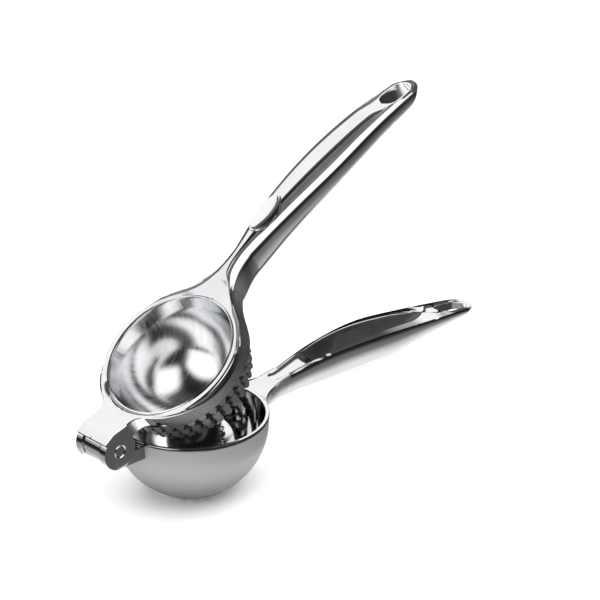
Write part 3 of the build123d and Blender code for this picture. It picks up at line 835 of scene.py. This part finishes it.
    # ring's flat foot, its bore and the slot's wall
    bore_low = inner * FLAT + UP * RING_BOTTOM
    bore_low[:ends[2], 2] = foot[:ends[2], 2]
    past = np.arange(n) >= ends[2]
    on_middle = past & (inner[:, 1] < 0.01)
    bore_low[on_middle] = foot[on_middle]
    ring_part = slice(ends[0] - 1, ends[3])
    cast.net([foot[ring_part], bore_low[ring_part]], both_sides=True)
    bore = np.abs(np.hypot(inner[:, 0] - REACH, inner[:, 1]) - BORE) < 0.02
    cast.net([inner_top[bore], bore_low[bore]], both_sides=True)
    cast.slot_wall(UPPER_SLOT, inner, inner_top, foot)

    build_ears(cast, edge[:ends[0]], height[:ends[0]], x[:ends[0]])
    build_badge_seat(cast)
    cast.make([polish, recess_shade, side])


def build_ears(cast, edge, height, x):
    """Clevis ears: flat faces with the pin's bore, rims and the knuckle's room."""
    cut = x[-1]
    bottom_turn = math.asin(-EAR_FOOT / EAR_RADIUS)
    round_end = math.acos(-PLATE_BACK / EAR_RADIUS)
    sweep = np.linspace(-bottom_turn, -(math.pi + round_end), 70)
    arc = point(EAR_RADIUS * np.cos(sweep), 0, EAR_RADIUS * np.sin(sweep))
    down = point(cut, 0, np.linspace(height[-1] - EDGE, EAR_FOOT, 8))[:-1]
    under = point(np.linspace(cut, EAR_RADIUS * math.cos(bottom_turn), 5), 0, EAR_FOOT)[:-1]
    back = point(PLATE_BACK, 0, np.linspace(arc[-1, 2], height[0] - EDGE, 6))[1:-1]
    top = point(x, 0, height - EDGE)
    loop = np.concatenate([top, down, under, arc, back])
    turns = np.arctan2(loop[:, 2], loop[:, 0])
    hole = point(PIN_BORE * np.cos(turns), 0, PIN_BORE * np.sin(turns))
    sunk = point((PIN_BORE + EDGE) * np.cos(turns), 0, (PIN_BORE + EDGE) * np.sin(turns))
    out, inn = np.array([0, CLEVIS_HALF, 0]), np.array([0, EAR_INNER, 0])
    bevel = np.array([0, CLEVIS_HALF - EDGE, 0])
    cast.net([loop + out, mix(loop, sunk, 0.5) + out, sunk + out, hole + bevel, hole + inn],
             True, True)
    rim_loop = np.concatenate([down[-1:], under, arc, back, top[:1]])
    cast.net([rim_loop + out, rim_loop + inn], both_sides=True)
    cast.net([loop + inn, mix(loop, hole, 0.5) + inn, hole + inn], True, True)
    # web over the knuckle
    start = math.acos(-PLATE_BACK / BORE_ROOM)
    room = np.linspace(math.pi - start, -math.asin(-EAR_FOOT / BORE_ROOM), 30)
    ceiling = point(BORE_ROOM * np.cos(room), 0, BORE_ROOM * np.sin(room))
    line = np.concatenate([[[PLATE_BACK, 0, height[0]]], ceiling, [[cut, 0, EAR_FOOT]],
                           [[REACH - BORE, 0, EAR_FOOT]]])
    cast.net([line + inn, line], both_sides=True)
    # plate's side edge, its back edge and the ears' backs
    cast.net([edge, point(x, CLEVIS_HALF, height - EDGE)], both_sides=True)
    brink = height[0] - EDGE
    outer_low = [PLATE_BACK, CLEVIS_HALF, brink]
    cast.net([[[PLATE_BACK, 0, height[0]], edge[0]],
              [[PLATE_BACK, 0, brink], outer_low],
              [[PLATE_BACK, 0, arc[-1, 2]], [PLATE_BACK, CLEVIS_HALF, arc[-1, 2]]]],
             both_sides=True)


def oval(grow, height, turns):
    """Oval about the badge's centre, larger than the badge by grow all round."""
    return point(BADGE_AT + (BADGE_HALF[0] + grow) * np.cos(turns),
                 (BADGE_HALF[1] + grow) * np.sin(turns), height)


def seat_top():
    return float(flow(BADGE_AT, SPINE_TOP)) + SEAT_STEP


def build_badge_seat(cast):
    """Raised oval seat on the spine, with a narrow rim round the badge."""
    turns = np.linspace(0, 2 * math.pi, 97)[:-1]
    top = seat_top()
    foot = float(flow(BADGE_AT, UPPER_RIM)) - GROOVE_DEPTH
    round_by = 0.45
    rails = [oval(SEAT_RIM, foot, turns), oval(SEAT_RIM, top - round_by, turns),
             oval(SEAT_RIM - 0.3 * round_by, top - 0.3 * round_by, turns),
             oval(SEAT_RIM - round_by, top, turns), oval(BADGE_GAP, top, turns),
             oval(BADGE_GAP, top - BADGE_SUNK, turns),
             oval(-BADGE_HALF[1], top - BADGE_SUNK, turns)]
    # painted shade on the seat's inner wall and floor round the badge
    skins = np.repeat([0, 0, 0, 0, 1, 1], len(turns)).reshape(-1, len(turns))
    cast.net(rails, closed=True, skin=skins)


def build_badge():
    """Blank oval plate with a softly rounded edge and a slightly domed top."""
    cast = Cast("badge_face", upper_place, "upper", "badge_plate")
    turns = np.linspace(0, 2 * math.pi, 97)[:-1]
    foot = seat_top() - BADGE_SUNK
    top = foot + BADGE_THICKNESS
    dome, round_by = 0.12, 0.35
    rails = [oval(-BADGE_HALF[1], foot, turns), oval(0, foot, turns)]
    for turn in np.radians(np.linspace(0, 90, 7)):
        rails.append(oval(round_by * (math.cos(turn) - 1),
                          top - dome - round_by * (1 - math.sin(turn)), turns))
    inside = BADGE_HALF[1] - round_by
    for share in np.linspace(0, 1, 9)[1:]:
        rails.append(oval(-round_by - inside * share, top - dome * (1 - share) ** 2, turns))
    # painted shade on the plate's underside, its side and the lower part of its rounding
    skins = np.repeat([1] * 4 + [0] * (len(rails) - 5), len(turns)).reshape(-1, len(turns))
    cast.net(rails, closed=True, skin=skins)
    cast.make([badge_polish, deep_shade_metal])


# ---- press cup ----------------------------------------------------------------------------
def cup_bottom(radius, start, count):
    """Profile of the cup's round bottom, from an angle below its widest place down."""
    return [(radius * math.cos(a), CUP_CENTRE - radius * math.sin(a))
            for a in np.linspace(start, math.pi / 2, count)]


def dome_at(height):
    """Radius of the cup's outside between the ribs."""
    return np.sqrt(CUP_DOME ** 2 - (height - CUP_CENTRE) ** 2)


def build_press_cup():
    """Deep cup: spun inside, tiers of pointed ribs and a smooth round bottom outside."""
    cast = Cast("press_cup_shell", upper_place, "upper", "press_cup")
    turns = np.linspace(0, 360, 4 * RIBS + 1)[:-1]
    lip = round_top(CUP_MOUTH, CUP_OUTER, CUP_LIP, LIP_ROUND, BEVEL)[::-1]
    inside = [(mix(CUP_MOUTH, CUP_THROAT, t), mix(CUP_LIP - LIP_ROUND, CUP_CENTRE, t))
              for t in np.linspace(0, 1, 8)[1:]]
    inside += cup_bottom(CUP_THROAT, 0, 40)[1:]
    cast.turned(lip + inside, turns, tall([1] * (len(lip) - 1) + [0] * len(inside)))
    cast.turned([lip[0], (CUP_OUTER, RING_BOTTOM), (RIB_OUTER - 0.1, RING_BOTTOM)], turns, 1)

    # ribs: columns at a valley, a face's two edges and its middle
    pitch = 360.0 / RIBS
    marks = np.array([-0.5, -RIB_FACE, 0.0, RIB_FACE])
    turns = (np.arange(RIBS)[:, None] + marks).ravel() * pitch
    in_valley = np.tile(np.abs(marks) > RIB_FACE + NEAR, RIBS)
    in_middle = np.tile(np.abs(marks) < NEAR, RIBS)
    flat = np.where(in_middle, math.cos(math.radians(RIB_FACE * pitch)), 1.0)
    rows = []
    for top, foot in zip((RING_BOTTOM,) + RIB_FEET, RIB_FEET):
        face = math.sqrt(RIB_OUTER ** 2 - (top - CUP_CENTRE) ** 2)
        shoulder = mix(top, foot, RIB_SHOULDER)
        valley = dome_at(foot)
        radius = np.where(in_valley, face - RIB_DEPTH, face * flat)
        lower = np.where(in_valley, mix(face - RIB_DEPTH, valley, RIB_SHOULDER), face * flat)
        edge = np.where(in_middle, foot + RIB_POINT, shoulder)
        under = np.where(in_middle, foot + RIB_UNDER, mix(shoulder, foot, 0.15))
        rows += [ring_point(turns, radius, top), ring_point(turns, lower, edge),
                 ring_point(turns, dome_at(under), under), ring_point(turns, valley, foot)]
    # painted shade: the rib faces and the round bottom take a darkened colour, the cuts under
    # the points and the valleys a darker one; the bevels under the faces stay polished
    skins = np.full((len(rows) - 1, len(turns)), 3)
    skins[0::4] = np.tile([3, 2, 2, 3], RIBS)
    skins[1::4] = np.tile([3, 1, 1, 3], RIBS)
    cast.net(rows, closed=True, skin=skins)
    cast.turned([(RIB_OUTER, RING_BOTTOM), (CUP_DOME - 0.6, RING_BOTTOM)], turns, 2)
    base = math.asin((CUP_CENTRE - RIB_FEET[-1]) / CUP_DOME)
    cast.turned(cup_bottom(CUP_DOME, base, 22), turns, 2)
    cast.make([spun, polish, rib_shade_metal, deep_shade_metal], crease=24.0)


# ---- lower arm ----------------------------------------------------------------------------
def bowl_radius(height):
    """Bowl's outer radius about its axis at a height."""
    below = np.maximum(BOWL_CENTRE - np.asarray(height, float), 0)
    return np.sqrt(np.maximum(BOWL_OUTER ** 2 - below ** 2, 0))


def channel_shape(x, half, rim, keel):
    """Half width and depth of the handle's channel at each place."""
    start, end = CHANNEL
    quarter = math.pi / 2
    opening = np.sin(quarter * np.clip(np.abs(x - start) / CHANNEL_OPENING, 0, 1))
    run_out = np.sin(quarter * np.clip(np.abs(end - x) / CHANNEL_RUN_OUT, 0, 1))
    full = rim - keel - CHANNEL_FLOOR
    depth = full * np.where(x < end, ease(x, *CHANNEL_FALL) * run_out ** 1.2, 0)
    depth = np.maximum(depth, DISH_DEPTH * ease(x, start, start + CHANNEL_OPENING))
    wall = flow(x, CHANNEL_WALL)
    return np.maximum((half - wall) * opening ** 0.6 * run_out ** 0.85, 0.5), depth


def channel_sink(p, level):
    """How deep the channel lies below the rim at points before the neck."""
    at = p[:, 0]
    swing = ((NECK - at) / (NECK - ROOT_AT)) ** ROOT_POWER
    open_half, deep = channel_shape(at, mix(LOWER_HALF[0][1], ROOT_HALF, swing), level,
                                    flow(at, LOWER_KEEL))
    q = np.clip(np.abs(p[:, 1]) / open_half, 0, 1)
    return deep * np.sqrt(1 - q ** 2)


def rooted(rail, neck, root):
    """Puts the flare from the bowl to the neck before a rail of the lower handle."""
    share = np.linspace(1, 0, ROOT_STEPS)
    swing = share ** ROOT_POWER
    flare = mix(np.asarray(neck), root, np.stack([share, swing, swing], -1))
    return np.concatenate([flare, rail])


def top_rail(plan, z, share):
    """Rail of the lower handle's top side. It starts on the bowl's edge, this share of
    the root's angle in from its outer end."""
    rail = at_height(plan, z)
    root = ring_point(ROOT_ANGLE * (1 - share), BOWL_OUTER + 0.1, BAND_TOP - 0.1)
    rail = rooted(rail, rail[0], root)
    flare = rail[:ROOT_STEPS]
    level = flow(flare[:, 0], LOWER_RIM)
    sink = channel_sink(flare, level)
    flare[:, 2] = mix(flare[:, 2], level, ease(flare[:, 0], *ROOT_DIP)) - sink
    return rail


def build_lower_arm():
    """Rim band, channel handle, tongue and knuckle."""
    cast = Cast("lower_arm_cast", lower_place, "lower", "lower_arm")
    end = CHANNEL[1]
    handle_x = np.concatenate([
        np.linspace(NECK, 124.0, 16)[1:], np.linspace(124.0, 194.0, 48)[1:],
        np.linspace(194.0, end, 36)[1:],
        np.linspace(end, LOWER_TIP - TIP_ROUND, 24)[1:]])
    tip, slot_end, cosines = slot_paths(LOWER_SLOT, LOWER_TIP, LOWER_HALF, 24)
    handle = point(handle_x, flow(handle_x, LOWER_HALF), 0)
    outline = np.concatenate([handle, tip])
    x = outline[:, 0]
    narrow = np.concatenate([np.ones(len(handle)), cosines])
    outward = outward_of(np.concatenate([[[NECK, LOWER_HALF[0][1], 0]], outline]))[1:]
    settle, meets = end, 224.0
    run = handle_x[handle_x <= meets]
    rest = len(handle_x) - len(run)
    inner = np.concatenate([middle_path(run, settle, meets, LOWER_SLOT),
                            along(slot_side(LOWER_SLOT), np.linspace(0, 1, rest + 1)[1:]),
                            slot_end])
    rim, keel, half = flow(x, LOWER_RIM), flow(x, LOWER_KEEL), outline[:, 1]
    round_by = RIM_ROUND * narrow
    opened, depth = channel_shape(x, flow(x, LOWER_HALF), rim, keel)
    depth = depth * narrow
    fall = RIM_FALL * narrow
    past = ease(x, *CHANNEL_PAST)

    # top: rails over the rim, then across the channel and round the slot
    edge = outline - outward * tall(round_by)
    brink = mix(opened, half - flow(x, CHANNEL_WALL), past) + BRINK
    brink = point(x, np.minimum(brink, half - RIM_LEAST * narrow), 0)
    brink = mix(brink, mix(inner, outline, 0.35), tall(ease(x, *SLOT_BLEND)))
    rails = [top_rail(mix(edge, brink, s), rim - fall * (1 - s), mix(*RIM_ROOT, s))
             for s in RIM_RAILS]
    for q in CHANNEL_RAILS:
        beside = mix(inner, brink, q)
        plan = mix(point(x, opened * q, 0), beside, tall(past)) if q > 0 else inner
        rails.append(top_rail(plan, rim - depth * math.sqrt(1 - q * q),
                              mix(RIM_ROOT[1], 1.0, 1 - q)))
    at = rails[-1][:-1, 0]
    lens = LENS_SHARE * np.sin(math.pi / 2 * np.clip((at - LENS_FROM) / LENS_NOSE, 0, 1))
    # painted shade: the channel's lens takes the dark colour
    skin = np.zeros((len(rails) - 1, len(at)), int)
    skin[len(RIM_RAILS):] = (tall(CHANNEL_RAILS[:-1]) < lens) & (at < end)
    cast.net(rails, both_sides=True, skin=skin)

    # belly: rounded edge, then a half ellipse that flares into the bowl
    rim = rim - fall
    wide = at_height(outline, rim - round_by)
    under = [top_rail(outline - outward * tall(CORNER * round_by), rim - CORNER * round_by,
                      RIM_ROOT[0] / 2), top_rail(wide, rim - round_by, 0.0)]
    for k in range(1, BELLY_STEPS + 1):
        share = k / BELLY_STEPS
        turn = math.pi / 2 * share
        z = mix(BAND_TOP - 0.4, LOWER_KEEL[0][1], math.sin(turn))
        root = ring_point(ROOT_ANGLE * math.cos(turn), float(bowl_radius(z)) - 0.1, z)
        neck = (NECK, LOWER_HALF[0][1] * math.cos(turn),
                mix(LOWER_RIM[4][1] - RIM_ROUND, LOWER_KEEL[1][1], math.sin(turn)))
        under.append(rooted(belly_rail(x, wide, inner, keel, share), neck, root))
    cast.net(under, both_sides=True)
    cast.slot_wall(LOWER_SLOT, inner, rails[-1][ROOT_STEPS:], under[-1][ROOT_STEPS:])

    # rim band on the bowl's edge
    foot = (BOWL_INNER, BAND_FOOT)
    cast.turned([foot] + round_top(BOWL_INNER, BAND, BAND_TOP, EDGE, CORNER)
                + [(BAND, BAND_FOOT), foot], np.linspace(0, 360, 181)[:-1])
    build_tongue(cast)
    cast.make([polish, deep_shade_metal])


def build_tongue(cast):
    """Block from the bowl to the knuckle, hollowed for the ears, and the knuckle."""
    z = np.linspace(TONGUE_TOP, TONGUE_FOOT, 12)
    front = np.sqrt(SWING ** 2 - z ** 2)
    wide = np.array([0, 1.0, 0])
    steps = [0.0, 0.25, 0.5, 0.75, 1.0]
    spans = [TONGUE_HALF * s for s in steps]
    back = [REACH - np.sqrt(np.maximum(bowl_radius(z) ** 2 - y * y, 0)) + 0.6 for y in spans]
    # painted shade on the tongue's flat sides
    cast.net([point(front, TONGUE_HALF, z), point(back[-1], TONGUE_HALF, z)],
             both_sides=True, skin=1)
    for row in (0, -1):
        cast.net([[(front[row], y, z[row]) for y in spans],
                  [(b[row], y, z[row]) for b, y in zip(back, spans)]], both_sides=True)
    cast.net([point(front, KNUCKLE_HALF, z), point(front, TONGUE_HALF, z)], both_sides=True)
    low_front = math.sqrt(KNUCKLE ** 2 - TONGUE_TOP ** 2)
    top = point(np.linspace(low_front, front[0], 4), 0, TONGUE_TOP)
    under = point(np.linspace(0, front[-1], 4), 0, np.linspace(-KNUCKLE, TONGUE_FOOT, 4))
    web = np.array([KNUCKLE_HALF * wide]).repeat(4, 0)
    cast.net([top, top + web], both_sides=True)
    cast.net([under, under + web], both_sides=True)
    cheek_top = np.concatenate([top + web, (point(front, KNUCKLE_HALF, z))[1:]])
    inner_arc = np.linspace(math.asin(-TONGUE_TOP / KNUCKLE), math.pi / 2, len(cheek_top))
    cheek_in = point(KNUCKLE * np.cos(inner_arc), KNUCKLE_HALF, -KNUCKLE * np.sin(inner_arc))
    cast.net([cheek_top, cheek_in], both_sides=True)
    turns = np.linspace(0, 2 * math.pi, 97)[:-1]

    def hoop(radius, y):
        return point(radius * np.cos(turns), y, radius * np.sin(turns))

    chamfer = 0.3
    cast.net([hoop(PIN_BORE, KNUCKLE_HALF), hoop(KNUCKLE - chamfer, KNUCKLE_HALF),
              hoop(KNUCKLE, KNUCKLE_HALF - chamfer), hoop(KNUCKLE, 0)], True, True)
    cast.net([hoop(PIN_BORE, -KNUCKLE_HALF), hoop(PIN_BORE, KNUCKLE_HALF)], closed=True)


build_upper_arm()
build_badge()
build_press_cup()
build_lower_arm()

for name, material in {"strainer_bowl": satin, "hinge_pin": pin_metal,
                       "washer_near": washer_metal, "washer_far": washer_metal}.items():
    skins = frame["nodes"][name].data.materials
    skins.clear()
    skins.append(material)


# ---- camera ---------------------------------------------------------------------------------
CAMERA_LENS = 153.4
CAMERA_PLACE = Vector((-0.7166, -0.8336, 0.6064))
VIEW_RIGHT = Vector((0.7259, -0.6878, 0.0))
VIEW_UP = Vector((0.2875, 0.3035, 0.9084))
VIEW_BACK = Vector((-0.6247, -0.6595, 0.4180))


def add_camera():
    """Camera at the photograph's viewing angle."""
    data = bpy.data.cameras.new("camera")
    data.lens = CAMERA_LENS
    data.clip_start, data.clip_end = 0.01, 50.0
    camera = bpy.data.objects.new("camera", data)
    turn = Matrix((VIEW_RIGHT, VIEW_UP, VIEW_BACK)).transposed()
    camera.matrix_world = Matrix.Translation(CAMERA_PLACE) @ turn.to_4x4()
    bpy.context.scene.collection.objects.link(camera)
    bpy.context.scene.camera = camera


# ---- studio ---------------------------------------------------------------------------------
FLOOR_REACH = 12.0
NEAR_FLOOR = 0.062           # round patch under the bowl that the bowl is mirrored in
FLOOR_SHADE = 0.95
BACKDROP_REACH = 10.0
BACKDROP_HEIGHT = 9.0
# what the metal mirrors: brightness by the height of the direction, below the horizon
LOWER_SKY = [(-1.0, 1.1), (-0.76, 0.9), (-0.62, 0.22), (-0.42, 0.06), (-0.2, 0.02),
             (0.1, 0.01)]
HORIZON = (0.13, 0.2)
CANOPY_TURN, CANOPY_SHADE = (-0.38, -0.1), (0.015, 0.085)
# soft boxes and glows: brightness, and where each part of the direction lets them in
SLANT = 0.83
BACK_BOX = (1.0, {"y": (0.42, 0.56), "z": HORIZON})
STRIP_BOX = (1.25, {"x": (-0.66, -0.8), "y": (-0.6, -0.4), "z": (-0.05, 0.08)})
FRONT_BOX = (1.25, {"y": (-0.12, -0.4), "z": (0.42, 0.64), "slant": (-0.24, 0.06),
                    "x": (0.62, 0.44)})
LEFT_GLOW = (0.3, {"x": (-0.1, -0.6), "z": (-0.25, -0.45)})
FAR_GLOW = (0.5, {"x": (0.3, 0.5), "y": (-0.1, 0.4), "z": (-0.42, -0.6)})
# direction towards each sun, strength, and width in degrees for soft shadows
SUNS = {"top_sun": ((0.25, -0.1, 1.0), 3.0, 100.0),
        "key_sun": ((-0.8, -0.4, 0.5), 1.4, 50.0)}


def add_stage(name, count, circles, material):
    """A disc in one circle of (radius, height), or a strip between two."""
    turns = [2 * math.pi * k / count for k in range(count)]
    points = [(r * math.cos(t), r * math.sin(t), z) for r, z in circles for t in turns]
    faces = [tuple(range(count))]
    if len(circles) == 2:
        faces = [(k, (k + 1) % count, count + (k + 1) % count, count + k)
                 for k in range(count)]
    mesh = bpy.data.meshes.new(name)
    mesh.from_pydata(points, [], faces)
    mesh.materials.append(material)
    piece = bpy.data.objects.new(name, mesh)
    bpy.context.scene.collection.objects.link(piece)
    return piece


def add_floor():
    """Pale floor in two parts: polished metal mirrors only the patch under the bowl."""
    paint = bpy.data.materials.new("floor_paint")
    paint.use_nodes = True
    shader = paint.node_tree.nodes["Principled BSDF"]
    shader.inputs["Base Color"].default_value = (FLOOR_SHADE, FLOOR_SHADE, FLOOR_SHADE, 1)
    shader.inputs["Roughness"].default_value = 1.0
    shader.inputs["Specular IOR Level"].default_value = 0.0
    add_stage("floor_near", 64, [(NEAR_FLOOR, 0)], paint)
    rest = add_stage("floor", 64, [(NEAR_FLOOR, 0), (FLOOR_REACH, 0)], paint)
    rest.visible_glossy = False


def add_backdrop():
    """White wall all round, seen by the camera alone."""
    white = bpy.data.materials.new("backdrop_white")
    white.use_nodes = True
    nodes, links = white.node_tree.nodes, white.node_tree.links
    glow = nodes.new("ShaderNodeEmission")
    links.new(glow.outputs["Emission"], nodes["Material Output"].inputs["Surface"])
    wall = add_stage("backdrop", 48, [(BACKDROP_REACH, 0), (BACKDROP_REACH, BACKDROP_HEIGHT)],
                     white)
    for rays in ("glossy", "diffuse", "shadow", "transmission"):
        setattr(wall, "visible_" + rays, False)


def add_suns():
    """Soft light from above for the floor and from the left for the bowl, mirrored nowhere."""
    for name, (towards, strength, width) in SUNS.items():
        data = bpy.data.lights.new(name, "SUN")
        data.energy = strength
        data.angle = math.radians(width)
        sun = bpy.data.objects.new(name, data)
        sun.rotation_euler = Vector(towards).to_track_quat("Z", "Y").to_euler()
        sun.visible_glossy = False
        bpy.context.scene.collection.objects.link(sun)


def add_world():
    """Three soft boxes, behind, in front above and at the left, under a dark canopy with a
    black horizon. Below lies a pale floor that is brighter at the left and far behind."""
    world = bpy.data.worlds.new("studio")
    bpy.context.scene.world = world
    s = Nodes(world)
    x, y, z = s.axes(s.add("ShaderNodeTexCoord").outputs["Generated"])
    parts = {"x": x, "y": y, "z": z,
             "slant": s.maths("SUBTRACT", x, s.maths("MULTIPLY", y, SLANT))}
    lift = s.add("ShaderNodeMapRange")
    s.feed(lift, "Value", z)
    s.feed(lift, "From Min", -1.0)
    ramp = s.add("ShaderNodeValToRGB")
    s.feed(ramp, "Fac", lift.outputs["Result"])
    elements = ramp.color_ramp.elements
    for position, value in LOWER_SKY[1:-1]:
        elements.new((position + 1) / 2)
    for element, (position, value) in zip(elements, LOWER_SKY):
        element.position = (position + 1) / 2
        element.color = (value, value, value, 1)

    def box(brightness, spans):
        """Brightness where each part of the direction lets it in."""
        return s.maths("MULTIPLY", brightness, *[
            s.spread(parts[part], 0.0, 1.0, *span) for part, span in spans.items()])

    up = s.spread(z, 0.0, 1.0, *HORIZON)
    glow = s.maths("ADD", ramp.outputs["Color"], box(*LEFT_GLOW), box(*FAR_GLOW))
    below = s.maths("MULTIPLY", glow, s.maths("SUBTRACT", 1.0, up))
    canopy = s.maths("MULTIPLY", s.spread(x, *CANOPY_SHADE, *CANOPY_TURN), up)
    boxes = s.maths("MAXIMUM", box(*STRIP_BOX), box(*FRONT_BOX), box(*BACK_BOX))
    s.feed(s.tree.nodes["Background"], "Color", s.maths("ADD", boxes, canopy, below))


add_camera()
add_floor()
add_backdrop()
add_suns()
add_world()
bpy.context.scene.view_settings.view_transform = "Standard"
